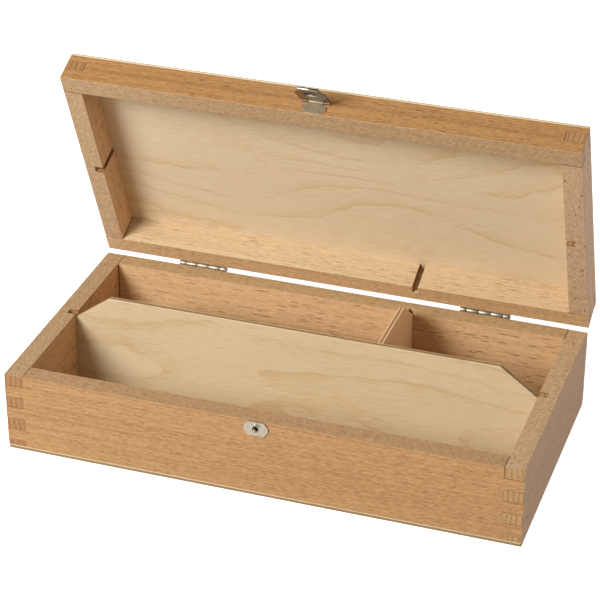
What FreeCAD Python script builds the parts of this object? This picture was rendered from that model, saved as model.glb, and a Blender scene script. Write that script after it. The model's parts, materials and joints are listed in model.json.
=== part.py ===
"""Art supply box: beech walls on box joints, plywood panels and dividers, two hinges, a flap catch.

Millimetres. +X runs along the box's length to its right end, +Y to the hinge side, +Z up.
The origin is the centre of the base's underside. The lid is drawn closed, then turned open
about the hinge axis to its rest pose, and the catch's flap is turned about its own pin.
"""
import FreeCAD
import Part

import os

from FreeCAD import Vector

# ---- Driving dimensions: the wooden box ----
LENGTH = 340.0
WIDTH = 170.0
BASE_HEIGHT = 55.7
LID_HEIGHT = 22.5
WALL = 12.7
PLY = 2.8
LID_PLY = 1.7
RIM_GAP = 0.2
FINGER = 8.1
JOINT_GAP = 0.3
PANEL_CORNER = 0.7

# ---- Driving dimensions: the dividers and their grooves ----
DIVIDER_THICKNESS = 3.6
DIVIDER_PLAY = 0.3
GROOVE_DEPTH = 6.0
LONG_DIVIDER_Y = 1.2
CROSS_DIVIDER_X = 52.7
DIVIDER_TOP = 71.5
LONG_CHAMFER_RUN = 30.8
LONG_CHAMFER_DROP = 22.7
CROSS_CHAMFER_RUN = 26.7
CROSS_CHAMFER_DROP = 21.6

# ---- Driving dimensions: the hinges ----
HINGE_X = 100.0
HINGE_LENGTH = 34.0
HINGE_OFFSET = 2.5
END_KNUCKLE = 4.6
KNUCKLE_GAP = 0.25
KNUCKLE_RADIUS = 2.4
HINGE_PIN_RADIUS = 1.2
HINGE_PIN_PROUD = 0.3
HINGE_PIN_ROUNDING = 0.5
RUNNING_CLEARANCE = 0.05
LEAF_THICKNESS = 1.0
LEAF_HEIGHT = 13.5
LEAF_CORNER = 2.0
LEAF_START = 0.2
LEAF_JOGGLE = 0.15
LEAF_CLEARANCE = 0.35
SCREW_SPOTS = ((-12.0, 7.2), (0.0, 9.8), (12.0, 7.2))
SCREW_HEAD_RADIUS = 2.1
SCREW_SHANK_RADIUS = 1.0
SCREW_LENGTH = 9.0
SCREW_TIP = 2.5
SCREW_TIP_RADIUS = 0.15
SCREW_DOME = 0.35
SLOT_WIDTH = 0.5
SLOT_DEPTH = 0.45

# ---- Driving dimensions: the keeper on the base's front ----
KEEPER_Z = 50.2
KEEPER_LENGTH = 16.1
KEEPER_HEIGHT = 10.0
KEEPER_FLAT = 10.7
KEEPER_TIP = 2.4
KEEPER_THICKNESS = 0.9
BOSS_RADIUS = 3.75
BOSS_HEIGHT = 1.0
BOSS_WELL_RADIUS = 2.3
STUD_RADIUS = 1.15
STUD_HEAD_RADIUS = 1.3
STUD_TOP = 4.4
STUD_BACK = 6.0
PRONG_SPREAD = 6.9
PRONG_WIDTH = 1.2
PRONG_LENGTH = 6.0

# ---- Driving dimensions: the catch on the lid's front ----
CATCH_PIN_Z = 65.0
CATCH_PIN_STANDOFF = 1.9
CATCH_PIN_RADIUS = 0.55
CATCH_PIN_PROUD = 0.2
CATCH_KNUCKLE_RADIUS = 1.05
CATCH_WIDTH = 18.4
CATCH_CENTRE_KNUCKLE = 9.2
CATCH_PLATE_LENGTH = 15.6
CATCH_PLATE_BOTTOM = 56.1
CATCH_PLATE_TOP = 62.9
CATCH_PLATE_THICKNESS = 0.8
CATCH_PLATE_CORNER = 3.2
FLAP_THICKNESS = 0.8
FLAP_LENGTH = 21.4
FLAP_WIDTH = 20.4
FLAP_NECK_LENGTH = 2.4
FLAP_CORNER = 5.8
LIP_WIDTH = 13.5
LIP_RADIUS = 1.1
DOME_INNER_RADIUS = 4.7
DOME_INNER_HEIGHT = 2.0
DOME_WALL = 0.7
DOME_HOLE_RADIUS = 1.8

# ---- Rest pose ----
LID_OPEN = 67.7
FLAP_OPEN = 64.0

# ---- Worked-out places ----
HALF_LENGTH = LENGTH / 2
HALF_WIDTH = WIDTH / 2
INNER_X = HALF_LENGTH - WALL
INNER_Y = HALF_WIDTH - WALL
LID_RIM = BASE_HEIGHT + RIM_GAP
LID_INNER_TOP = BASE_HEIGHT + LID_HEIGHT - LID_PLY
LID_TOP = BASE_HEIGHT + LID_HEIGHT
HINGE_Y = HALF_WIDTH + HINGE_OFFSET
HINGE_Z = BASE_HEIGHT + RIM_GAP / 2
FRONT_Y = -HALF_WIDTH
CATCH_PIN_Y = FRONT_Y - CATCH_PIN_STANDOFF
GROOVE_WIDTH = DIVIDER_THICKNESS + 2 * DIVIDER_PLAY
MARGIN = 1.0


# ---- Small shape helpers ----
def block(low, high):
    """An axis-aligned box between two corners."""
    size = Vector(*high) - Vector(*low)
    return Part.makeBox(size.x, size.y, size.z, Vector(*low))


def rod(start, end, radius):
    """A cylinder between two points."""
    axis = Vector(*end) - Vector(*start)
    return Part.makeCylinder(radius, axis.Length, Vector(*start), axis)


def slab(outline, thickness, direction):
    """A flat plate: a closed outline of points pushed along a direction."""
    points = [Vector(*point) for point in outline]
    face = Part.Face(Part.makePolygon(points + points[:1]))
    return face.extrude(Vector(*direction) * thickness)


def turned(shape, angle, pivot_y, pivot_z):
    """The shape turned about an axis along -X: positive angles lift what is in front."""
    copy = shape.copy()
    copy.rotate(Vector(0, pivot_y, pivot_z), Vector(-1, 0, 0), angle)
    return copy


def opened(shape):
    """A lid shape turned from closed to its rest pose."""
    return turned(shape, LID_OPEN, HINGE_Y, HINGE_Z)


def cut_all(shape, tools):
    """The shape less every tool."""
    for tool in tools:
        shape = shape.cut(tool)
    return shape


# ---- Box joints ----
def finger_bands():
    """Heights of the bands where the side walls' fingers run through to the front and back."""
    bands = []
    top = BASE_HEIGHT + 2 * FINGER
    while top > PLY:
        bands.append((max(top - FINGER, PLY), top))
        top -= 2 * FINGER
    return bands


def side_finger_zone(low, high):
    """The bands between two heights where the side walls' fingers take up the corners."""
    pieces = []
    for bottom, top in finger_bands():
        bottom = max(bottom, low)
        top = min(top, high)
        if top - bottom > MARGIN:
            pieces.append((bottom, top))
    return pieces


def corner_blocks(sign_x, sign_y, bands):
    """The square corner columns of the side walls' fingers at one corner."""
    blocks = []
    for bottom, top in bands:
        xs = sorted((sign_x * INNER_X, sign_x * HALF_LENGTH))
        ys = sorted((sign_y * INNER_Y, sign_y * HALF_WIDTH))
        blocks.append(block((xs[0], ys[0], bottom), (xs[1], ys[1], top)))
    return blocks


def long_wall(sign_y, low, high):
    """A front or back wall with the side walls' fingers cut out of its ends."""
    ys = sorted((sign_y * INNER_Y, sign_y * HALF_WIDTH))
    wall = block((-HALF_LENGTH, ys[0], low), (HALF_LENGTH, ys[1], high))
    bands = side_finger_zone(low, high)
    for sign_x in (-1, 1):
        wall = cut_all(wall, corner_blocks(sign_x, sign_y, bands))
    return wall


def joint_gap():
    """The hairline beside the top finger at the base's front right corner."""
    return block((INNER_X - JOINT_GAP, -HALF_WIDTH - MARGIN, BASE_HEIGHT - FINGER),
                 (INNER_X, -INNER_Y + MARGIN, BASE_HEIGHT + MARGIN))


def panel(low, high):
    """A plywood panel as long and wide as the box, its four corners slightly clipped."""
    board = block((-HALF_LENGTH, -HALF_WIDTH, low), (HALF_LENGTH, HALF_WIDTH, high))
    upright = [edge for edge in board.Edges if abs(edge.tangentAt(0).z) > 0.5]
    return board.makeChamfer(PANEL_CORNER, upright)


def side_wall(sign_x, low, high):
    """A left or right wall: the panel between the long walls plus its fingers."""
    xs = sorted((sign_x * INNER_X, sign_x * HALF_LENGTH))
    wall = block((xs[0], -INNER_Y, low), (xs[1], INNER_Y, high))
    bands = side_finger_zone(low, high)
    for sign_y in (-1, 1):
        for finger in corner_blocks(sign_x, sign_y, bands):
            wall = wall.fuse(finger)
    return wall.removeSplitter()


# ---- Grooves and dividers ----
def long_groove(sign_x, low, high):
    """The upright groove in a side wall that takes an end of the long divider."""
    xs = sorted((sign_x * (INNER_X - MARGIN), sign_x * (INNER_X + GROOVE_DEPTH)))
    half = GROOVE_WIDTH / 2
    return block((xs[0], LONG_DIVIDER_Y - half, low), (xs[1], LONG_DIVIDER_Y + half, high))


def cross_groove(low, high):
    """The upright groove in the back wall that takes an end of the cross divider."""
    half = GROOVE_WIDTH / 2
    return block((CROSS_DIVIDER_X - half, INNER_Y - MARGIN, low),
                 (CROSS_DIVIDER_X + half, INNER_Y + GROOVE_DEPTH, high))


def long_divider():
    """The lengthwise plywood divider, its two top corners cut off aslant."""
    end_x = INNER_X + GROOVE_DEPTH - DIVIDER_PLAY
    run = LONG_CHAMFER_RUN
    drop = LONG_CHAMFER_DROP
    front_y = LONG_DIVIDER_Y - DIVIDER_THICKNESS / 2
    outline = (
        (-end_x, front_y, PLY),
        (end_x, front_y, PLY),
        (end_x, front_y, DIVIDER_TOP - drop),
        (end_x - run, front_y, DIVIDER_TOP),
        (-end_x + run, front_y, DIVIDER_TOP),
        (-end_x, front_y, DIVIDER_TOP - drop),
    )
    return slab(outline, DIVIDER_THICKNESS, (0, 1, 0))


def cross_divider():
    """The short plywood divider behind the long one, its rear top corner cut off aslant."""
    start_y = LONG_DIVIDER_Y + DIVIDER_THICKNESS / 2
    end_y = INNER_Y + GROOVE_DEPTH - DIVIDER_PLAY
    run = CROSS_CHAMFER_RUN
    drop = CROSS_CHAMFER_DROP
    left_x = CROSS_DIVIDER_X - DIVIDER_THICKNESS / 2
    outline = (
        (left_x, start_y, PLY),
        (left_x, end_y, PLY),
        (left_x, end_y, DIVIDER_TOP - drop),
        (left_x, end_y - run, DIVIDER_TOP),
        (left_x, start_y, DIVIDER_TOP),
    )
    return slab(outline, DIVIDER_THICKNESS, (1, 0, 0))


# ---- Hinges ----
def knuckle_spans(centre_x):
    """The five knuckles' spans along X: short ones at the ends, three equal ones between."""
    inner = (HINGE_LENGTH - 2 * END_KNUCKLE) / 3
    lengths = (END_KNUCKLE, inner, inner, inner, END_KNUCKLE)
    spans = []
    start = centre_x - HINGE_LENGTH / 2
    for length in lengths:
        spans.append((start, start + length))
        start += length
    return spans


def knuckle(span, radius):
    """One rolled knuckle as a solid rod, a little shorter than its span."""
    gap = KNUCKLE_GAP / 2
    return rod((span[0] + gap, HINGE_Y, HINGE_Z), (span[1] - gap, HINGE_Y, HINGE_Z), radius)


def leaf_plate(centre_x, up):
    """The flat of one leaf on the outside of the back wall, reaching up or down."""
    sign = 1 if up else -1
    left = centre_x - HINGE_LENGTH / 2
    right = centre_x + HINGE_LENGTH / 2
    near = HINGE_Z + sign * LEAF_START
    far = HINGE_Z + sign * LEAF_HEIGHT
    corner = LEAF_CORNER
    outline = (
        (left, HALF_WIDTH, near),
        (right, HALF_WIDTH, near),
        (right, HALF_WIDTH, far - sign * corner),
        (right - corner, HALF_WIDTH, far),
        (left + corner, HALF_WIDTH, far),
        (left, HALF_WIDTH, far - sign * corner),
    )
    return slab(outline, LEAF_THICKNESS, (0, 1, 0))


def hinge_leaf(centre_x, up):
    """A leaf with its knuckles: the base has knuckles 1, 3 and 5, the lid 2 and 4."""
    spans = knuckle_spans(centre_x)
    own = spans[1::2] if up else spans[0::2]
    other = [span for span in spans if span not in own]
    sign = 1 if up else -1
    leaf = leaf_plate(centre_x, up)
    relief = KNUCKLE_RADIUS + LEAF_CLEARANCE
    for start, end in other:
        leaf = leaf.cut(rod((start, HINGE_Y, HINGE_Z), (end, HINGE_Y, HINGE_Z), relief))
    for span in own:
        gap = KNUCKLE_GAP / 2
        zs = sorted((HINGE_Z, HINGE_Z + sign * KNUCKLE_RADIUS))
        web = block((span[0] + gap, HALF_WIDTH + LEAF_JOGGLE, zs[0]),
                    (span[1] - gap, HALF_WIDTH + LEAF_THICKNESS, zs[1]))
        leaf = leaf.fuse(knuckle(span, KNUCKLE_RADIUS)).fuse(web)
    bore_radius = HINGE_PIN_RADIUS + (RUNNING_CLEARANCE if up else 0.0)
    bore = rod((centre_x - HINGE_LENGTH, HINGE_Y, HINGE_Z),
               (centre_x + HINGE_LENGTH, HINGE_Y, HINGE_Z), bore_radius)
    return cut_all(leaf.cut(bore), screw_cones(centre_x, up))


def hinge_pin(centre_x):
    """The hinge pin with slightly rounded ends."""
    half = HINGE_LENGTH / 2 + HINGE_PIN_PROUD
    pin = rod((centre_x - half, HINGE_Y, HINGE_Z), (centre_x + half, HINGE_Y, HINGE_Z),
              HINGE_PIN_RADIUS)
    return pin.makeFillet(HINGE_PIN_ROUNDING, [pin.Edges[0], pin.Edges[2]])


def screw_places(centre_x, up):
    """Where a leaf's screws go through: X and Z of each axis."""
    sign = 1 if up else -1
    return [(centre_x + across, HINGE_Z + sign * rise) for across, rise in SCREW_SPOTS]


def screw_cone(x, z):
    """The countersunk head's cone together with the shank, point first into the wall."""
    surface = HALF_WIDTH + LEAF_THICKNESS
    head = Part.makeCone(SCREW_HEAD_RADIUS, SCREW_SHANK_RADIUS, LEAF_THICKNESS,
                         Vector(x, surface, z), Vector(0, -1, 0))
    point_y = surface - SCREW_LENGTH + SCREW_TIP
    shank = rod((x, HALF_WIDTH, z), (x, point_y, z), SCREW_SHANK_RADIUS)
    point = Part.makeCone(SCREW_SHANK_RADIUS, SCREW_TIP_RADIUS, SCREW_TIP,
                          Vector(x, point_y, z), Vector(0, -1, 0))
    return head.fuse(shank).fuse(point).removeSplitter()


def screw_cones(centre_x, up):
    """The room that a leaf's screws take in the leaf and the wall."""
    return [screw_cone(x, z) for x, z in screw_places(centre_x, up)]


def screw(x, z):
    """A small countersunk screw with a slightly raised, slotted head."""
    surface = HALF_WIDTH + LEAF_THICKNESS
    sphere_radius = (SCREW_HEAD_RADIUS ** 2 + SCREW_DOME ** 2) / (2 * SCREW_DOME)
    ball = Part.makeSphere(sphere_radius, Vector(x, surface + SCREW_DOME - sphere_radius, z))
    cap = ball.common(rod((x, surface, z), (x, surface + MARGIN, z), SCREW_HEAD_RADIUS))
    body = screw_cone(x, z).fuse(cap)
    half = SLOT_WIDTH / 2
    reach = SCREW_HEAD_RADIUS + MARGIN
    slot_floor = surface + SCREW_DOME - SLOT_DEPTH
    slot = block((-reach, 0, -half), (reach, MARGIN, half))
    slot.rotate(Vector(0, 0, 0), Vector(0, 1, 0), (x * 37 + z * 11) % 180)
    slot.translate(Vector(x, slot_floor, z))
    return body.cut(slot)


def screw_group(up):
    """All the screws of the two base leaves or of the two lid leaves."""
    screws = []
    for centre_x in (-HINGE_X, HINGE_X):
        screws += [screw(x, z) for x, z in screw_places(centre_x, up)]
    return Part.makeCompound(screws)


def wall_pilots(up):
    """The room that one wall leaves for its hinge screws."""
    rooms = []
    for centre_x in (-HINGE_X, HINGE_X):
        rooms += screw_cones(centre_x, up)
    return rooms


# ---- Keeper ----
def prong(x, z):
    """A pointed tang that is driven into the front wall behind a plate."""
    half = PRONG_WIDTH / 2
    outline = (
        (x - half, FRONT_Y, z),
        (x + half, FRONT_Y, z),
        (x + half, FRONT_Y + PRONG_LENGTH - PRONG_WIDTH, z),
        (x, FRONT_Y + PRONG_LENGTH, z),
        (x - half, FRONT_Y + PRONG_LENGTH - PRONG_WIDTH, z),
    )
    plate = slab(outline, KEEPER_THICKNESS, (0, 0, 1))
    plate.translate(Vector(0, 0, -KEEPER_THICKNESS / 2))
    return plate


def prongs(z):
    """The pair of tangs behind a plate whose centre is at height z."""
    return [prong(-PRONG_SPREAD, z), prong(PRONG_SPREAD, z)]


def dome(centre_z, base_y, base_radius, height):
    """A spherical cap that stands on a plane parallel to the front wall, bulging forwards."""
    radius = (base_radius ** 2 + height ** 2) / (2 * height)
    ball = Part.makeSphere(radius, Vector(0, base_y + radius - height, centre_z))
    keep = rod((0, base_y, centre_z), (0, base_y - height - MARGIN, centre_z), radius + MARGIN)
    return ball.common(keep)


def keeper_plate():
    """The eight-sided plate with a low round boss, a well for the stud and two tangs."""
    half = KEEPER_LENGTH / 2
    flat = KEEPER_FLAT / 2
    tall = KEEPER_HEIGHT / 2
    tip = KEEPER_TIP / 2
    corners = ((-half, tip), (-half, -tip), (-flat, -tall), (flat, -tall),
               (half, -tip), (half, tip), (flat, tall), (-flat, tall))
    outline = [(x, FRONT_Y, KEEPER_Z + z) for x, z in corners]
    plate = slab(outline, KEEPER_THICKNESS, (0, -1, 0))
    face_y = FRONT_Y - KEEPER_THICKNESS
    plate = plate.fuse(dome(KEEPER_Z, face_y, BOSS_RADIUS, BOSS_HEIGHT))
    well = Part.makeCone(BOSS_WELL_RADIUS, STUD_RADIUS, BOSS_HEIGHT + KEEPER_THICKNESS,
                         Vector(0, face_y - BOSS_HEIGHT, KEEPER_Z), Vector(0, 1, 0))
    plate = plate.cut(well)
    for tang in prongs(KEEPER_Z):
        plate = plate.fuse(tang)
    return plate.removeSplitter()


def stud_room():
    """The stud's shank in the front wall."""
    return rod((0, FRONT_Y, KEEPER_Z), (0, FRONT_Y + STUD_BACK, KEEPER_Z), STUD_RADIUS)


def keeper_stud():
    """The round-headed stud in the keeper's middle that the flap's hole snaps over."""
    shank_end = FRONT_Y - STUD_TOP + STUD_HEAD_RADIUS
    shank = rod((0, FRONT_Y + STUD_BACK, KEEPER_Z), (0, shank_end, KEEPER_Z), STUD_RADIUS)
    head = Part.makeSphere(STUD_HEAD_RADIUS, Vector(0, shank_end, KEEPER_Z))
    return shank.fuse(head)


# ---- Catch ----
def catch_rod(low_x, high_x, radius):
    """A rod on the catch's pin axis."""
    return rod((low_x, CATCH_PIN_Y, CATCH_PIN_Z), (high_x, CATCH_PIN_Y, CATCH_PIN_Z), radius)


def latch_plate():
    """The fixed plate on the lid's front with the centre knuckle and two tangs."""
    half = CATCH_PLATE_LENGTH / 2
    corner = CATCH_PLATE_CORNER
    low = CATCH_PLATE_BOTTOM
    high = CATCH_PLATE_TOP
    outline = (
        (-half, FRONT_Y, low + corner),
        (-half + corner, FRONT_Y, low),
        (half - corner, FRONT_Y, low),
        (half, FRONT_Y, low + corner),
        (half, FRONT_Y, high - corner / 2),
        (half - corner / 2, FRONT_Y, high),
        (-half + corner / 2, FRONT_Y, high),
        (-half, FRONT_Y, high - corner / 2),
    )
    plate = slab(outline, CATCH_PLATE_THICKNESS, (0, -1, 0))
    reach = CATCH_CENTRE_KNUCKLE / 2
    neck = block((-reach, FRONT_Y - CATCH_PLATE_THICKNESS, high - MARGIN),
                 (reach, FRONT_Y, CATCH_PIN_Z))
    web = block((-reach, CATCH_PIN_Y, CATCH_PIN_Z),
                (reach, FRONT_Y, CATCH_PIN_Z + CATCH_KNUCKLE_RADIUS))
    plate = plate.fuse(neck).fuse(web)
    plate = plate.fuse(catch_rod(-reach, reach, CATCH_KNUCKLE_RADIUS))
    plate = plate.cut(catch_rod(-reach - MARGIN, reach + MARGIN, CATCH_PIN_RADIUS))
    for tang in prongs((low + high) / 2):
        plate = plate.fuse(tang)
    return plate.removeSplitter()


def flap_outline():
    """The flap's flat, hanging from the pin: a narrow neck, straight sides, clipped corners."""
    knuckle_half = CATCH_WIDTH / 2
    half = FLAP_WIDTH / 2
    lip_half = LIP_WIDTH / 2
    neck_z = CATCH_PIN_Z - FLAP_NECK_LENGTH
    end_z = CATCH_PIN_Z - FLAP_LENGTH
    return ((-knuckle_half, CATCH_PIN_Z), (knuckle_half, CATCH_PIN_Z),
            (half, neck_z), (half, end_z + FLAP_CORNER),
            (lip_half, end_z), (-lip_half, end_z),
            (-half, end_z + FLAP_CORNER), (-half, neck_z))


def latch_flap():
    """The flap: two end knuckles, a pressed dome with a hole, and a rolled lip to lift it by."""
    inner_y = CATCH_PIN_Y + FLAP_THICKNESS / 2
    outline = [(x, inner_y, z) for x, z in flap_outline()]
    flap = slab(outline, FLAP_THICKNESS, (0, -1, 0))
    end_half = CATCH_WIDTH / 2
    centre_half = CATCH_CENTRE_KNUCKLE / 2 + KNUCKLE_GAP
    window_z = CATCH_PIN_Z - CATCH_KNUCKLE_RADIUS - LEAF_CLEARANCE
    window = block((-centre_half, FRONT_Y - STUD_TOP, window_z),
                   (centre_half, FRONT_Y, CATCH_PIN_Z + MARGIN))
    flap = flap.cut(window)
    flap = flap.fuse(catch_rod(-end_half, -centre_half, CATCH_KNUCKLE_RADIUS))
    flap = flap.fuse(catch_rod(centre_half, end_half, CATCH_KNUCKLE_RADIUS))
    outer = dome(KEEPER_Z, inner_y, DOME_INNER_RADIUS + DOME_WALL, DOME_INNER_HEIGHT + DOME_WALL)
    inner = dome(KEEPER_Z, inner_y, DOME_INNER_RADIUS, DOME_INNER_HEIGHT)
    hole = rod((0, FRONT_Y, KEEPER_Z), (0, FRONT_Y - 3 * STUD_TOP, KEEPER_Z), DOME_HOLE_RADIUS)
    flap = flap.fuse(outer).cut(inner).cut(hole)
    lip_z = CATCH_PIN_Z - FLAP_LENGTH
    lip_y = inner_y - LIP_RADIUS
    lip = rod((-LIP_WIDTH / 2, lip_y, lip_z), (LIP_WIDTH / 2, lip_y, lip_z), LIP_RADIUS)
    bore = catch_rod(-end_half - MARGIN, end_half + MARGIN, CATCH_PIN_RADIUS + RUNNING_CLEARANCE)
    return flap.fuse(lip).cut(bore).removeSplitter()


def latch_pin():
    """The catch's pin, its ends just proud of the knuckles."""
    half = CATCH_WIDTH / 2 + CATCH_PIN_PROUD
    return catch_rod(-half, half, CATCH_PIN_RADIUS)


# ---- Sub-parts ----
def base_nodes():
    """The wooden base with its dividers."""
    low = PLY
    high = BASE_HEIGHT
    front = cut_all(long_wall(-1, low, high), prongs(KEEPER_Z) + [stud_room(), joint_gap()])
    back = cut_all(long_wall(1, low, high), [cross_groove(low, high)] + wall_pilots(False))
    return {
        "base_front_wall": front,
        "base_back_wall": back,
        "base_left_wall": side_wall(-1, low, high).cut(long_groove(-1, low, high)),
        "base_right_wall": side_wall(1, low, high).cut(long_groove(1, low, high)),
        "base_bottom_panel": panel(0, PLY),
        "long_divider": long_divider(),
        "cross_divider": cross_divider(),
    }


def lid_nodes():
    """The wooden lid, drawn closed."""
    low = LID_RIM
    high = LID_INNER_TOP
    plate_middle = (CATCH_PLATE_BOTTOM + CATCH_PLATE_TOP) / 2
    back = cut_all(long_wall(1, low, high), [cross_groove(low, high)] + wall_pilots(True))
    return {
        "lid_front_wall": cut_all(long_wall(-1, low, high), prongs(plate_middle)),
        "lid_back_wall": back,
        "lid_left_wall": side_wall(-1, low, high).cut(long_groove(-1, low, high)),
        "lid_right_wall": side_wall(1, low, high).cut(long_groove(1, low, high)),
        "lid_top_panel": panel(high, LID_TOP),
    }


def metal_nodes():
    """Hinges and catch: first what stays with the base, then what opens with the lid."""
    fixed = {
        "base_hinge_screws": screw_group(False),
        "keeper_plate": keeper_plate(),
        "keeper_stud": keeper_stud(),
    }
    moving = {
        "lid_hinge_screws": screw_group(True),
        "latch_plate": latch_plate(),
        "latch_pin": latch_pin(),
    }
    for side, centre_x in (("left", -HINGE_X), ("right", HINGE_X)):
        fixed[side + "_hinge_base_leaf"] = hinge_leaf(centre_x, False)
        fixed[side + "_hinge_pin"] = hinge_pin(centre_x)
        moving[side + "_hinge_lid_leaf"] = hinge_leaf(centre_x, True)
    return fixed, moving


def all_nodes():
    """Every sub-part in its rest pose."""
    fixed, moving = metal_nodes()
    nodes = dict(base_nodes())
    nodes.update(fixed)
    for name, shape in {**lid_nodes(), **moving}.items():
        nodes[name] = opened(shape)
    hanging = turned(latch_flap(), FLAP_OPEN, CATCH_PIN_Y, CATCH_PIN_Z)
    nodes["latch_flap"] = opened(hanging)
    return nodes


def main():
    """Write one STEP file per sub-part."""
    os.makedirs("parts", exist_ok=True)
    for name, shape in all_nodes().items():
        shape.exportStep(os.path.join("parts", name + ".step"))
        solids = len(shape.Solids)
        print(f"{name:24s} solids {solids}  volume {shape.Volume:10.1f}  valid {shape.isValid()}")


main()
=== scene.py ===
"""Looks of the art supply box: beech boards, birch plywood, nickel-plated hinges and catch.

Metres, in the CAD frame: +X along the length, +Y to the hinge side, +Z up. Every wooden board
has its own material, whose grain follows the board: patterns are worked out in board
coordinates, with the first axis along the grain, the second across it and the third through
the board's thickness. Boards of the open lid are turned back to closed for this.
"""

import json
import math

import bpy
from mathutils import Euler, Matrix, Vector


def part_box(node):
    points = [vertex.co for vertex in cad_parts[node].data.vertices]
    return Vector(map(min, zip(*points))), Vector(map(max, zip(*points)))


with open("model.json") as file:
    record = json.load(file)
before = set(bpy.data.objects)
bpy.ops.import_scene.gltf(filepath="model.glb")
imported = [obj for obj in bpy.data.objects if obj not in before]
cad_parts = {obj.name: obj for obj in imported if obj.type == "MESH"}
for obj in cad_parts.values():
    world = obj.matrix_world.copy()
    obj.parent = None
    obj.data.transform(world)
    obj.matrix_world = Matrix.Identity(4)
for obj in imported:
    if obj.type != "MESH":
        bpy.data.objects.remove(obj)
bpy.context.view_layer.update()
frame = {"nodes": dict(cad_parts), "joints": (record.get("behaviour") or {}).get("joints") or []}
NODES = frame["nodes"]
JOINTS = {joint["name"]: joint for joint in frame["joints"]}

# ---- Camera: degrees, metres; lens and sensor in millimetres ----
CAMERA_AZIMUTH = 18.719
CAMERA_ELEVATION = 29.914
CAMERA_ROLL = 0.035
CAMERA_DISTANCE = 1.441
CAMERA_TARGET = Vector((-0.00025, 0.0, 0.09496))
CAMERA_LENS = 135.88
SENSOR_WIDTH = 36.0
CLIP_START = 0.05

# ---- Lights: name, width in metres, azimuth and elevation in degrees of where it stands,
# distance in metres, watts, colour ----
LIGHTS = (
    ("key", 0.82, -32.0, 31.5, 1.8, 36.5, (1.0, 1.05, 1.08)),
    ("fill", 0.9, 75.0, 15.0, 2.2, 3.4, (1.0, 1.0, 1.0)),
)
WORLD_COLOR = (1.0, 0.87, 0.68)
WORLD_STRENGTH = 0.35
FLOOR_HALF = 6.0
FLOOR_GLOW = 0.95
FLOOR_WHITE = (0.9, 0.9, 0.9, 1.0)
GLOW_WHITE = (1.0, 1.0, 1.0, 1.0)
FLOOR_ROUGHNESS = 0.9
FLOOR_SPECULAR = 0.1
FLOOR_DROP = 0.0002

# ---- Colours, linear. BEECH and BIRCH are the woods' own, and the others multiply them ----
BEECH = (0.565, 0.333, 0.156)
BEECH_PALE = (1.20, 1.23, 1.26)
BEECH_DEEP = (0.80, 0.77, 0.72)
FLECK = (0.45, 0.30, 0.21)
SEAM = (0.30, 0.20, 0.14)
PLAIN = (1.0, 1.0, 1.0)
END_STRIPE = (0.74, 0.68, 0.63)
BIRCH = (0.66, 0.52, 0.34)
BIRCH_PALE = (1.04, 1.05, 1.07)
BIRCH_LINE = (0.92, 0.83, 0.70)
PLY_CORE = (0.46, 0.37, 0.29)

# ---- Wood structure, metres ----
RING_SPACING = 0.0036
RING_WAVER = 0.0034
RING_LEAN = 0.012
PITH_DEPTH = 0.200
BEECH_BEND = 0.0025
BIRCH_BEND = 0.003
FIGURE_SPACING = 0.026
# Length and width of the cell that holds one ray or spot
LONG_RAY = (0.0190, 0.0018)
SHORT_RAY = (0.0090, 0.0015)
SPOT = (0.0060, 0.0034)

# ---- Rays: seed and rarity of each layer; how a ray's edge and its chance fade ----
LONG_LAYERS = ((3.1, 0.15), (17.6, 0.20))
SHORT_LAYERS = ((8.7, 0.40), (29.4, 0.50))
SPOT_LAYER = (5.2, 0.45)
RAY_EDGE = (0.15, 0.23)
RARITY_FADE = 0.25
SHORT_AMONG_LONG = 0.45
PATCH_FADE = (0.35, 0.65)
PATCH_FLOOR = 0.6

# ---- Noise scales per metre: along the grain, across it, through the board ----
BEND_SCALES = (7.0, 14.0, 14.0)
RING_SCALES = (5.0, 22.0, 60.0)
STREAK_SCALES = (290.0, 1500.0, 1500.0)
LINE_SCALES = (2.0, 620.0, 620.0)
BROAD_SCALES = (5.0, 45.0, 45.0)
BEECH_FIBRE_SCALES = (300.0, 2800.0, 2800.0)
PATCH_SCALES = (12.0, 45.0, 45.0)
SPECKLE_SCALES = (700.0, 700.0, 1300.0)
HILL_SCALES = (3.4, 9.0, 0.0)
WAVER_SCALES = (45.0, 90.0, 0.0)
VEIL_SCALES = (14.0, 34.0, 0.0)
CLOUD_SCALES = (9.0, 26.0, 26.0)
BIRCH_FIBRE_SCALES = (110.0, 1000.0, 1000.0)
# Along and across the slanted saw scratches
WEAVE_SCALES = (200.0, 1900.0)
# The same three for metal, along the frame's axes
POLISH_SCALES = (420.0, 420.0, 420.0)
SCRATCH_SCALES = (900.0, 9000.0, 5200.0)
# Each board's place in the noise, per axis: step from board to board, and first value
BOARD_SHIFTS = ((1.37, 0.61), (0.83, 0.29), (0.47, 0.13))

# ---- How strongly each pattern shows ----
BEECH_TONE = 0.44
STREAK_SWING = 1.6
LINE_SWING = 1.0
BROAD_SWING = 0.2
RING_WEIGHT = 0.08
INNER_CALM = 0.60
RIM_TONE = 0.55
RIM_RANGE = (0.0, 1.3)
# Angle in degrees and swing of each set of saw scratches
WEAVES = ((40.0, 2.6), (-28.0, 1.8))
RIM_STREAK_SWING = 0.8
RIM_LINE_SWING = 0.4
BIRCH_TONE = 0.22
FIBRE_SWING = 1.5
CLOUD_SWING = 0.7
HILL_SWING = 9.0
WAVER_SWING = 0.35
FIRST_TURN = 40.0
LINE_SHARPNESS = 7.0
SHADE_SHARPNESS = 2.0
LINE_WEIGHT = 0.75
SHADE_WEIGHT = 0.18
LINE_END = 0.95
VEIL_FADE = (0.32, 0.62)
SPECKLE_RANGE = (-0.5, 0.5)

# ---- Which way a face looks: its normal's component along one board axis ----
# Signed: positive on the side of the board that faces out of the box
OUTWARD_FADE = (0.0, 0.4)
# Without sign
SIDE_FADE = (0.6, 0.8)
EDGE_FADE = (0.5, 0.8)
ARRIS_FACING = (0.30, 0.96)
FLAT_FACING = 0.60

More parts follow.
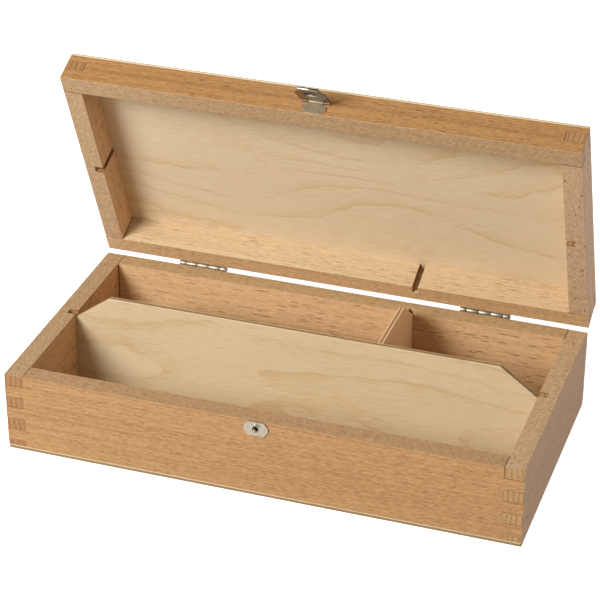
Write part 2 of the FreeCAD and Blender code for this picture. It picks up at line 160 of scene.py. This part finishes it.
# ---- Box joints, metres ----
JOINT_DEPTH = 0.0127
SEAM_MARGIN = 0.001
SEAM_WIDTH = 0.0004

# ---- Surfaces: roughness, relief in metres, arrises ----
WOOD_ROUGHNESS = 0.52
BEECH_ROUGH_SWING = 0.14
BIRCH_ROUGH_SWING = 0.10
WOOD_SPECULAR = 0.28
FIBRE_RELIEF = 0.4
STREAK_RELIEF = 0.3
RAY_RELIEF = 0.5
EDGE_RELIEF = 0.2
WOOD_RELIEF = {"Strength": 0.5, "Distance": 0.00006}
METAL_RELIEF = {"Strength": 0.25, "Distance": 0.00002}
POLISH_FADE = (0.35, 0.75)
POLISH_DIM = 0.82
POLISH_ROUGHNESS = 0.16
ARRIS_WOOD = 0.00035
ARRIS_METAL = 0.00010
ARRIS_SEGMENTS = 2
WELD_DISTANCE = 0.000001
BEVEL_ANGLE = 35.0


# ---- Node tree helper ----
class Tree:
    """Adds shader nodes to one node tree and links them."""

    def __init__(self, tree):
        self.tree = tree

    def put(self, kind, values=None, **settings):
        node = self.tree.nodes.new("ShaderNode" + kind)
        for name, setting in settings.items():
            setattr(node, name, setting)
        for key, value in (values or {}).items():
            socket = node.inputs[key]
            if isinstance(value, bpy.types.NodeSocket):
                self.tree.links.new(value, socket)
            elif socket.type == "RGBA":
                socket.default_value = (*value, 1.0)
            else:
                socket.default_value = value
        return node

    def math(self, operation, a, b=0.0):
        return self.put("Math", {0: a, 1: b}, operation=operation).outputs[0]

    def step(self, value, low, high):
        """A smooth step from 0 at low to 1 at high."""
        values = {"Value": value, "From Min": low, "From Max": high}
        return self.put("MapRange", values, interpolation_type="SMOOTHSTEP").outputs[0]

    def mix(self, factor, a, b, blend="MIX"):
        values = {0: factor, 6: a, 7: b}
        return self.put("Mix", values, data_type="RGBA", blend_type=blend).outputs[2]

    def stretch(self, vector, scales):
        return self.put("VectorMath", {0: vector, 1: scales}, operation="MULTIPLY").outputs[0]

    def add(self, a, b):
        return self.put("VectorMath", {0: a, 1: b}, operation="ADD").outputs[0]

    def axes(self, vector):
        return self.put("SeparateXYZ", {0: vector}).outputs

    def join(self, x, y, z):
        return self.put("CombineXYZ", {0: x, 1: y, 2: z}).outputs[0]

    def noise(self, vector, detail=2.0, roughness=0.5, distortion=0.0):
        values = {"Vector": vector, "Scale": 1.0, "Detail": detail,
                  "Roughness": roughness, "Distortion": distortion}
        return self.put("TexNoise", values).outputs[0]

    def cells(self, vector):
        """Distance to the nearest cell's point, and a random number for that cell."""
        node = self.put("TexVoronoi", {"Vector": vector, "Scale": 1.0})
        return node.outputs["Distance"], self.axes(node.outputs["Color"])[0]


def group(name, inputs, outputs):
    """An empty node group with vector inputs and the given outputs."""
    tree = bpy.data.node_groups.new(name, "ShaderNodeTree")
    for label in inputs:
        tree.interface.new_socket(label, in_out="INPUT", socket_type="NodeSocketVector")
    for label, kind in outputs:
        tree.interface.new_socket(label, in_out="OUTPUT", socket_type="NodeSocket" + kind)
    start = tree.nodes.new("NodeGroupInput")
    end = tree.nodes.new("NodeGroupOutput")
    return Tree(tree), start.outputs, end.inputs


WOOD_OUTPUTS = (("Color", "Color"), ("Roughness", "Float"), ("Height", "Float"))


def swing(t, value, amount):
    """A noise value turned into a deviation from zero."""
    return t.math("MULTIPLY", t.math("SUBTRACT", value, 0.5), amount)


def bent(t, place, shift, reach):
    """Board coordinates whose grain lines wander a little to and fro across the board."""
    moved = t.add(place, shift)
    wander = t.noise(t.stretch(moved, BEND_SCALES), 1.0)
    return t.add(moved, t.join(0.0, swing(t, wander, reach), 0.0))


def total(t, *terms):
    """The sum of several values."""
    result = terms[0]
    for term in terms[1:]:
        result = t.math("ADD", result, term)
    return result


def tinted(t, color, tint):
    return t.mix(1.0, color, tint, "MULTIPLY")


def beech_tone(t, value, low, high):
    """Beech's own colour, from pale at the low value to deep at the high one."""
    return tinted(t, t.mix(t.step(value, low, high), BEECH_PALE, BEECH_DEEP), BEECH)


def give(t, result, color, roughness, height):
    """Links a wood's three outputs."""
    for label, socket in (("Color", color), ("Roughness", roughness), ("Height", height)):
        t.tree.links.new(socket, result[label])


def rays(t, along, aside, cell, layer):
    """Short spindles along the grain, as beech's rays show on a sawn face: 0 to 1."""
    length, width = cell
    seed, rarity = layer
    spot = t.join(total(t, t.math("DIVIDE", along, length), seed),
                  total(t, t.math("DIVIDE", aside, width), seed), 0.0)
    distance, chance = t.cells(spot)
    inside = t.math("SUBTRACT", 1.0, t.step(distance, *RAY_EDGE))
    return t.math("MULTIPLY", inside, t.step(chance, rarity, rarity + RARITY_FADE))


def ring_bands(t, place, shift):
    """Yearly rings about a pith that lies behind the board: 0 in spring wood, 1 in summer wood."""
    wobble = t.noise(t.add(t.stretch(place, RING_SCALES), shift), 2.0)
    across, through = t.axes(place)[1:]
    lean = t.axes(shift)[0]
    side = t.math("ADD", across, t.math("MULTIPLY", t.math("SINE", lean), RING_LEAN))
    depth = t.math("ADD", through, PITH_DEPTH)
    radius = t.math("SQRT", t.math("ADD", t.math("MULTIPLY", side, side),
                                   t.math("MULTIPLY", depth, depth)))
    wavering = t.math("ADD", radius, swing(t, wobble, 2 * RING_WAVER))
    turns = t.math("DIVIDE", wavering, RING_SPACING)
    wave = t.math("SINE", t.math("MULTIPLY", turns, 2 * math.pi))
    return t.math("POWER", t.math("ADD", t.math("MULTIPLY", wave, 0.5), 0.5), 2.0)


def weave(t, place, angle):
    """Fine slanted scratches that the saw left on the rims: a noise value."""
    along, _, through = t.axes(place)
    slope = math.radians(angle)
    lengthwise = t.math("ADD", t.math("MULTIPLY", along, math.cos(slope)),
                        t.math("MULTIPLY", through, math.sin(slope)))
    aside = t.math("SUBTRACT", t.math("MULTIPLY", through, math.cos(slope)),
                   t.math("MULTIPLY", along, math.sin(slope)))
    return t.noise(t.join(t.math("MULTIPLY", lengthwise, WEAVE_SCALES[0]),
                          t.math("MULTIPLY", aside, WEAVE_SCALES[1]), angle), 0.0)


def seams(t, place, facing, outward, half):
    """The thin dark lines where boards meet in the box joints: 1 on a line, else 0."""
    along, across = [t.math("ABSOLUTE", axis) for axis in t.axes(place)[:2]]
    half_length, half_height, rims_end = t.axes(half)
    margin = t.math("SUBTRACT", half_length, SEAM_MARGIN)
    within_length = t.math("LESS_THAN", along, margin)
    within_height = t.math("LESS_THAN", across, t.math("SUBTRACT", half_height, SEAM_MARGIN))
    least, most = ARRIS_FACING
    arris = t.math("MULTIPLY", t.math("GREATER_THAN", facing[0], least),
                   t.math("LESS_THAN", facing[0], most))
    finger_side = t.math("MULTIPLY", within_height, t.math("GREATER_THAN", facing[1], least))
    arris = t.math("MULTIPLY", arris, t.math("MAXIMUM", within_length, finger_side))

    joint = t.math("SUBTRACT", half_length, JOINT_DEPTH + SEAM_WIDTH)
    near = t.math("MULTIPLY", t.math("GREATER_THAN", along, joint), within_length)
    inner = t.math("MULTIPLY", t.math("GREATER_THAN", facing[2], FLAT_FACING),
                   t.math("SUBTRACT", 1.0, outward))
    rim = t.math("MULTIPLY", t.math("GREATER_THAN", facing[1], FLAT_FACING), rims_end)
    return t.math("MAXIMUM", arris, t.math("MULTIPLY", near, t.math("MAXIMUM", inner, rim)))


def make_beech():
    """Beech: fine streaks outside, long dark rays inside, hatched rims and brown end grain."""
    inputs = ("Place", "Normal", "Shift", "Half", "Outer", "Inner", "Rim", "End", "Marks")
    t, given, result = group("beech", inputs, WOOD_OUTPUTS)
    place, shift = given["Place"], given["Shift"]
    outer_rays, inner_rays, rim_spots = t.axes(given["Marks"])
    facing = [t.math("ABSOLUTE", axis) for axis in t.axes(given["Normal"])]
    outward = t.step(t.axes(given["Normal"])[2], *OUTWARD_FADE)
    end_grain = t.step(facing[0], *SIDE_FADE)
    rim = t.step(facing[1], *SIDE_FADE)
    grain = bent(t, place, shift, BEECH_BEND)

    bands = ring_bands(t, place, shift)
    streaks = t.noise(t.stretch(grain, STREAK_SCALES), 1.0)
    lines = t.noise(t.stretch(grain, LINE_SCALES), 1.0)
    broad = t.noise(t.stretch(grain, BROAD_SCALES), 2.0)
    fibre = t.noise(t.stretch(grain, BEECH_FIBRE_SCALES), 1.0)
    uneven = total(t, swing(t, streaks, STREAK_SWING), swing(t, lines, LINE_SWING),
                   swing(t, broad, BROAD_SWING), t.math("MULTIPLY", bands, RING_WEIGHT))
    calm = total(t, INNER_CALM, t.math("MULTIPLY", outward, 1.0 - INNER_CALM))
    tone = total(t, BEECH_TONE, t.math("MULTIPLY", uneven, calm))
    plain = beech_tone(t, tone, 0.0, 1.0)

    along, across, through = t.axes(grain)
    long_rays = t.math("MAXIMUM", *[rays(t, along, across, LONG_RAY, layer)
                                    for layer in LONG_LAYERS])
    fine_rays = t.math("MAXIMUM", *[rays(t, along, across, SHORT_RAY, layer)
                                    for layer in SHORT_LAYERS])
    patch = t.step(t.noise(t.stretch(grain, PATCH_SCALES), 1.0), *PATCH_FADE)
    long_rays = t.math("MAXIMUM", long_rays, t.math("MULTIPLY", fine_rays, SHORT_AMONG_LONG))
    long_rays = t.math("MULTIPLY", long_rays,
                       total(t, t.math("MULTIPLY", patch, 1.0 - PATCH_FLOOR), PATCH_FLOOR))
    outer_marks = t.math("MULTIPLY", fine_rays, outer_rays)
    inner_marks = t.math("MULTIPLY", long_rays, inner_rays)
    strength = total(t, t.math("MULTIPLY", outer_marks, outward),
                     t.math("MULTIPLY", inner_marks, t.math("SUBTRACT", 1.0, outward)))
    # The outer and inner face tints carry painted light and shade as well as the wood's own colour
    smooth = tinted(t, plain, t.mix(outward, given["Inner"], given["Outer"]))
    color = t.mix(strength, smooth, tinted(t, smooth, FLECK))

    scratches = [swing(t, weave(t, place, angle), amount) for angle, amount in WEAVES]
    sawn = total(t, RIM_TONE, *scratches, swing(t, streaks, RIM_STREAK_SWING),
                 swing(t, lines, RIM_LINE_SWING))
    # The rim tint carries painted light and shade as well as the sawn wood's own colour
    sawn = tinted(t, beech_tone(t, sawn, *RIM_RANGE), given["Rim"])
    spots = t.math("MULTIPLY", rays(t, along, through, SPOT, SPOT_LAYER), rim_spots)
    sawn = t.mix(spots, sawn, tinted(t, sawn, FLECK))
    color = t.mix(rim, color, sawn)

    speckle = t.noise(t.stretch(t.add(place, shift), SPECKLE_SCALES), 1.0)
    cut = beech_tone(t, swing(t, speckle, 1.0), *SPECKLE_RANGE)
    cut = tinted(t, tinted(t, cut, given["End"]), t.mix(bands, PLAIN, END_STRIPE))
    color = t.mix(end_grain, color, cut)
    seam = seams(t, place, facing, outward, given["Half"])
    color = t.mix(seam, color, tinted(t, color, SEAM))

    height = total(t, t.math("MULTIPLY", fibre, FIBRE_RELIEF),
                   t.math("MULTIPLY", streaks, STREAK_RELIEF))
    height = t.math("SUBTRACT", height, t.math("MULTIPLY", strength, RAY_RELIEF))
    give(t, result, color, total(t, WOOD_ROUGHNESS, swing(t, fibre, BEECH_ROUGH_SWING)), height)
    return t.tree


def growth_line(t, turns, sharpness):
    """A line at every whole turn, fading in from one side and ending quickly: 0 to 1."""
    part = t.math("FRACT", turns)
    end = t.math("SUBTRACT", 1.0, t.step(part, LINE_END, 1.0))
    return t.math("MULTIPLY", t.math("POWER", part, sharpness), end)


def make_birch():
    """Birch plywood: pale rotary-cut faces with soft figure, and three layers in the edges."""
    inputs = ("Place", "Normal", "Shift", "Tint", "Layers")
    t, given, result = group("birch_plywood", inputs, WOOD_OUTPUTS)
    place, shift = given["Place"], given["Shift"]
    core_low, core_high, strength = t.axes(given["Layers"])
    grain = bent(t, place, shift, BIRCH_BEND)
    facing = t.math("ABSOLUTE", t.axes(given["Normal"])[2])
    edge = t.math("SUBTRACT", 1.0, t.step(facing, *EDGE_FADE))

    moved = t.add(place, shift)
    hills = t.noise(t.stretch(moved, HILL_SCALES), 1.0)
    waver = t.noise(t.stretch(moved, WAVER_SCALES), 1.0)
    turns = total(t, t.math("DIVIDE", t.axes(place)[1], FIGURE_SPACING),
                  swing(t, hills, HILL_SWING), swing(t, waver, WAVER_SWING), FIRST_TURN)
    line = growth_line(t, turns, LINE_SHARPNESS)
    shade = growth_line(t, turns, SHADE_SHARPNESS)
    veil = t.step(t.noise(t.stretch(moved, VEIL_SCALES), 2.0), *VEIL_FADE)
    cloud = t.noise(t.stretch(grain, CLOUD_SCALES), 2.0)
    fibre = t.noise(t.stretch(grain, BIRCH_FIBRE_SCALES), 2.0)
    figure = t.math("MULTIPLY", total(t, t.math("MULTIPLY", line, LINE_WEIGHT),
                                      t.math("MULTIPLY", shade, SHADE_WEIGHT)), veil)
    tone = total(t, BIRCH_TONE, t.math("MULTIPLY", figure, strength),
                 swing(t, fibre, FIBRE_SWING), swing(t, cloud, CLOUD_SWING))
    color = tinted(t, t.mix(t.step(tone, 0.0, 1.0), BIRCH_PALE, BIRCH_LINE), BIRCH)

    through = t.axes(place)[2]
    core = t.math("MULTIPLY", t.math("GREATER_THAN", through, core_low),
                  t.math("LESS_THAN", through, core_high))
    color = t.mix(t.math("MULTIPLY", edge, core), color, tinted(t, color, PLY_CORE))
    # The tint holds painted light as well as the piece's own colour
    color = tinted(t, color, given["Tint"])
    height = t.math("ADD", t.math("MULTIPLY", fibre, FIBRE_RELIEF),
                    t.math("MULTIPLY", edge, EDGE_RELIEF))
    give(t, result, color, total(t, WOOD_ROUGHNESS, swing(t, fibre, BIRCH_ROUGH_SWING)), height)
    return t.tree


BEECH_WOOD = make_beech()
BIRCH_WOOD = make_birch()


# ---- Board coordinates ----
def closing_turn():
    """The turn that takes a lid point from its rest pose back to closed: pivot and Euler angles."""
    hinge = JOINTS["lid_hinge"]
    angle = math.radians(-hinge["range_deg"][0])
    return Vector(hinge["pos_m"]), Euler((angle, 0.0, 0.0))


def board_frame(name):
    """The board's centre and half sizes, closed, and the pivot and turn that close it."""
    low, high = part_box(name)
    pivot, turn = Vector((0, 0, 0)), Euler((0, 0, 0))
    if name.startswith("lid_"):
        pivot, turn = closing_turn()
        matrix = turn.to_matrix()
        corners = [matrix @ (v.co - pivot) + pivot for v in NODES[name].data.vertices]
        low = Vector([min(c[i] for c in corners) for i in range(3)])
        high = Vector([max(c[i] for c in corners) for i in range(3)])
    return (low + high) / 2, (high - low) / 2, pivot, turn


def new_material(name):
    """A material with an empty node tree, and the helper that fills it."""
    material = bpy.data.materials.new(name)
    material.use_nodes = True
    material.node_tree.nodes.clear()
    return material, Tree(material.node_tree)


def wood_material(name, source, order, index, values, outward=1.0):
    """One board's material: board coordinates fed to its wood, then to the shader."""
    centre, half, pivot, turn = board_frame(name)
    material, t = new_material(name + "_wood")
    coordinates = t.put("TexCoord").outputs
    offset = pivot - turn.to_matrix() @ pivot - centre
    closed = t.put("Mapping", {"Vector": coordinates["Object"], "Location": offset,
                               "Rotation": turn})
    normal = t.put("Mapping", {"Vector": coordinates["Normal"], "Rotation": turn},
                   vector_type="VECTOR")
    place_axes = t.axes(closed.outputs[0])
    normal_axes = t.axes(normal.outputs[0])
    wood = t.put("Group", {}, node_tree=source)
    inputs = dict(values)
    if source is BEECH_WOOD:
        rims_end = name.startswith("base_") == (order == LENGTHWISE)
        inputs["Half"] = (half[order[0]], half[order[1]], float(rims_end))
    inputs["Place"] = t.stretch(t.join(*[place_axes[i] for i in order]), (1.0, 1.0, outward))
    inputs["Normal"] = t.stretch(t.join(*[normal_axes[i] for i in order]), (1.0, 1.0, outward))
    inputs["Shift"] = tuple(step * index + first for step, first in BOARD_SHIFTS)
    for label, value in inputs.items():
        if isinstance(value, bpy.types.NodeSocket):
            t.tree.links.new(value, wood.inputs[label])
        else:
            wood.inputs[label].default_value = value
    bump = t.put("Bump", {**WOOD_RELIEF, "Height": wood.outputs["Height"]})
    shader = t.put("BsdfPrincipled", {"Base Color": wood.outputs["Color"],
                                      "Roughness": wood.outputs["Roughness"],
                                      "Normal": bump.outputs[0]})
    shader.inputs["Specular IOR Level"].default_value = WOOD_SPECULAR
    output = t.put("OutputMaterial")
    t.tree.links.new(shader.outputs[0], output.inputs[0])
    return material


def metal_material(name, color, roughness):
    """Plated metal: fine scratches and a slightly uneven polish."""
    material, t = new_material(name)
    place = t.put("TexCoord").outputs["Object"]
    cloud = t.noise(t.stretch(place, POLISH_SCALES), 3.0)
    scratch = t.noise(t.stretch(place, SCRATCH_SCALES), 2.0)
    tint = t.mix(t.step(cloud, *POLISH_FADE), color, tuple(POLISH_DIM * c for c in color))
    rough = t.math("ADD", t.math("MULTIPLY", cloud, POLISH_ROUGHNESS), roughness)
    bump = t.put("Bump", {**METAL_RELIEF, "Height": scratch})
    shader = t.put("BsdfPrincipled", {"Base Color": tint, "Roughness": rough,
                                      "Normal": bump.outputs[0]})
    shader.inputs["Metallic"].default_value = 1.0
    output = t.put("OutputMaterial")
    t.tree.links.new(shader.outputs[0], output.inputs[0])
    return material


# ---- Finishing the CAD nodes ----
# Which frame axes run along the grain, across it and through the board
LENGTHWISE = (0, 2, 1)
CROSSWISE = (1, 2, 0)
FLAT = (0, 1, 2)

# Each board: name, axes, outward side, tints of its outer face, inner face, rims and end grain,
# and how strong its outer rays, inner rays and rim spots are. The outer, inner and rim tints were
# fitted to how each face looks in its light, so besides the wood's own colour they hold painted
# light and shade: darker outer faces, brighter and bluer inner faces, bluer rims, and shifted
# colour on the shaded right walls.
BOARDS = (
    ("base_front_wall", LENGTHWISE, -1.0, (0.78, 0.71, 0.635), (1.12, 1.20, 1.30),
     (0.75, 0.77, 0.86), (0.74, 0.70, 0.64), (0.55, 0.9, 0.0)),
    ("base_back_wall", LENGTHWISE, 1.0, (0.90, 0.86, 0.80), (1.05, 1.09, 1.17),
     (0.82, 0.91, 1.01), (0.74, 0.70, 0.64), (0.55, 1.0, 0.4)),
    ("base_left_wall", CROSSWISE, -1.0, (0.88, 0.84, 0.80), (0.97, 0.98, 1.05),
     (0.80, 0.86, 1.02), (0.70, 0.60, 0.53), (0.50, 0.9, 0.0)),
    ("base_right_wall", CROSSWISE, 1.0, (0.70, 0.58, 0.42), (1.12, 1.20, 1.30),
     (0.89, 0.99, 1.23), (0.80, 0.80, 0.76), (0.60, 0.9, 0.7)),
    ("lid_front_wall", LENGTHWISE, -1.0, (0.72, 0.62, 0.50), (1.12, 1.20, 1.30),
     (0.79, 0.84, 0.97), (0.74, 0.70, 0.64), (0.80, 0.8, 0.0)),
    ("lid_back_wall", LENGTHWISE, 1.0, (0.90, 0.86, 0.80), (0.99, 1.17, 1.43),
     (0.94, 0.98, 1.04), (0.74, 0.70, 0.64), (0.55, 0.5, 0.0)),
    ("lid_left_wall", CROSSWISE, -1.0, (0.88, 0.84, 0.80), (1.15, 1.24, 1.46),
     (0.86, 0.92, 1.09), (0.70, 0.60, 0.50), (0.50, 0.8, 0.0)),
    ("lid_right_wall", CROSSWISE, 1.0, (0.98, 0.95, 0.99), (1.12, 1.20, 1.30),
     (0.95, 1.04, 1.31), (0.78, 0.72, 0.68), (0.50, 0.6, 0.9)),
)

# Each plywood piece: name, axes, tint, then where its core begins and ends, in metres through
# the board from its middle, and how strong its figure is. The tints were fitted to how each piece
# looks in its light, so besides the birch's own colour they hold painted light: most of all the
# cross divider, tinted brighter to make up for the shade it stands in.
PANELS = (
    ("base_bottom_panel", FLAT, (0.92, 0.90, 0.86), (-0.00095, 0.00065, 1.0)),
    ("lid_top_panel", FLAT, (1.09, 1.09, 1.11), (0.00020, 0.00055, 1.0)),
    ("long_divider", LENGTHWISE, (0.92, 0.90, 0.86), (-0.0010, 0.0010, 1.0)),
    ("cross_divider", CROSSWISE, (1.24, 1.12, 1.08), (-0.0010, 0.0010, 0.1)),
)

# Each metal: name, colour, roughness and the ends of the names of the pieces made of it. The
# colours are set darker than the bare metal, and differ from fitting to fitting, to stand in for
# the dark surroundings each one reflects and to tame the lamp's highlight: painted dark reflection.
METALS = (
    ("bright_steel", (0.34, 0.32, 0.29), 0.26, ("_pin", "_screws")),
    ("leaf_nickel_painted_dim", (0.27, 0.235, 0.18), 0.32, ("_leaf",)),
    ("keeper_nickel", (0.33, 0.29, 0.235), 0.24, ("keeper_plate", "keeper_stud")),
    ("dull_nickel", (0.52, 0.42, 0.31), 0.60, ("latch_plate",)),
    ("polished_nickel", (0.24, 0.21, 0.17), 0.10, ("latch_flap",)),
)


def finish_node(name, material, arris):
    """Gives a CAD node its material and slightly rounded arrises."""
    node = NODES[name]
    node.data.materials.clear()
    node.data.materials.append(material)
    weld = node.modifiers.new("weld", "WELD")
    weld.merge_threshold = WELD_DISTANCE
    bevel = node.modifiers.new("arris", "BEVEL")
    bevel.width = arris
    bevel.segments = ARRIS_SEGMENTS
    bevel.limit_method = "ANGLE"
    bevel.angle_limit = math.radians(BEVEL_ANGLE)


def finish_wood():
    """Every board and panel in its own wood."""
    for index, board in enumerate(BOARDS, 1):
        name, order, outward, outer, inner, rim, end, marks = board
        values = {"Outer": outer, "Inner": inner, "Rim": rim, "End": end, "Marks": marks}
        material = wood_material(name, BEECH_WOOD, order, index, values, outward)
        finish_node(name, material, ARRIS_WOOD)
    for index, (name, order, tint, layers) in enumerate(PANELS, len(BOARDS) + 1):
        values = {"Tint": tint, "Layers": layers}
        finish_node(name, wood_material(name, BIRCH_WOOD, order, index, values), ARRIS_WOOD)


def finish_metal():
    """Steel pins and screws; nickel plate on the other fittings, its colour darkened part by part
    as painted dark reflection.
    """
    for metal, color, roughness, endings in METALS:
        material = metal_material(metal, color, roughness)
        for name in NODES:
            if name.endswith(endings):
                finish_node(name, material, ARRIS_METAL)


# ---- Studio ----
def direction(azimuth, elevation):
    """The unit vector towards a viewer who stands at that azimuth and elevation."""
    a, e = math.radians(azimuth), math.radians(elevation)
    return Vector((math.sin(a) * math.cos(e), -math.cos(a) * math.cos(e), math.sin(e)))


def make_camera():
    data = bpy.data.cameras.new("camera")
    data.lens = CAMERA_LENS
    data.sensor_width = SENSOR_WIDTH
    data.clip_start = CLIP_START
    camera = bpy.data.objects.new("camera", data)
    bpy.context.scene.collection.objects.link(camera)
    back = direction(CAMERA_AZIMUTH, CAMERA_ELEVATION)
    turn = back.to_track_quat("Z", "Y").to_matrix()
    roll = Matrix.Rotation(math.radians(CAMERA_ROLL), 3, "Z")
    camera.matrix_world = (turn @ roll).to_4x4()
    camera.location = CAMERA_TARGET + back * CAMERA_DISTANCE
    bpy.context.scene.camera = camera


def make_lights():
    for name, size, azimuth, elevation, distance, power, color in LIGHTS:
        data = bpy.data.lights.new(name, "AREA")
        data.shape = "DISK"
        data.size = size
        data.energy = power
        data.color = color
        light = bpy.data.objects.new(name, data)
        bpy.context.scene.collection.objects.link(light)
        towards = direction(azimuth, elevation)
        light.location = CAMERA_TARGET + towards * distance
        light.rotation_euler = towards.to_track_quat("Z", "Y").to_euler()


def make_floor():
    mesh = bpy.data.meshes.new("floor")
    corners = [(x * FLOOR_HALF, y * FLOOR_HALF, 0) for x, y in ((-1, -1), (1, -1), (1, 1), (-1, 1))]
    mesh.from_pydata(corners, [], [(0, 1, 2, 3)])
    floor = bpy.data.objects.new("floor", mesh)
    bpy.context.scene.collection.objects.link(floor)
    material = bpy.data.materials.new("floor_white")
    material.use_nodes = True
    shader = material.node_tree.nodes["Principled BSDF"]
    shader.inputs["Base Color"].default_value = FLOOR_WHITE
    shader.inputs["Roughness"].default_value = FLOOR_ROUGHNESS
    shader.inputs["Specular IOR Level"].default_value = FLOOR_SPECULAR
    shader.inputs["Emission Color"].default_value = GLOW_WHITE
    shader.inputs["Emission Strength"].default_value = FLOOR_GLOW
    mesh.materials.append(material)
    floor.location.z = -FLOOR_DROP
    floor.visible_diffuse = False


def make_world():
    world = bpy.data.worlds.new("studio")
    world.use_nodes = True
    background = world.node_tree.nodes["Background"]
    background.inputs["Color"].default_value = (*WORLD_COLOR, 1.0)
    background.inputs["Strength"].default_value = WORLD_STRENGTH
    scene = bpy.context.scene
    scene.world = world
    scene.view_settings.view_transform = "Standard"
    scene.view_settings.look = "None"


make_camera()
make_lights()
make_floor()
make_world()
finish_wood()
finish_metal()
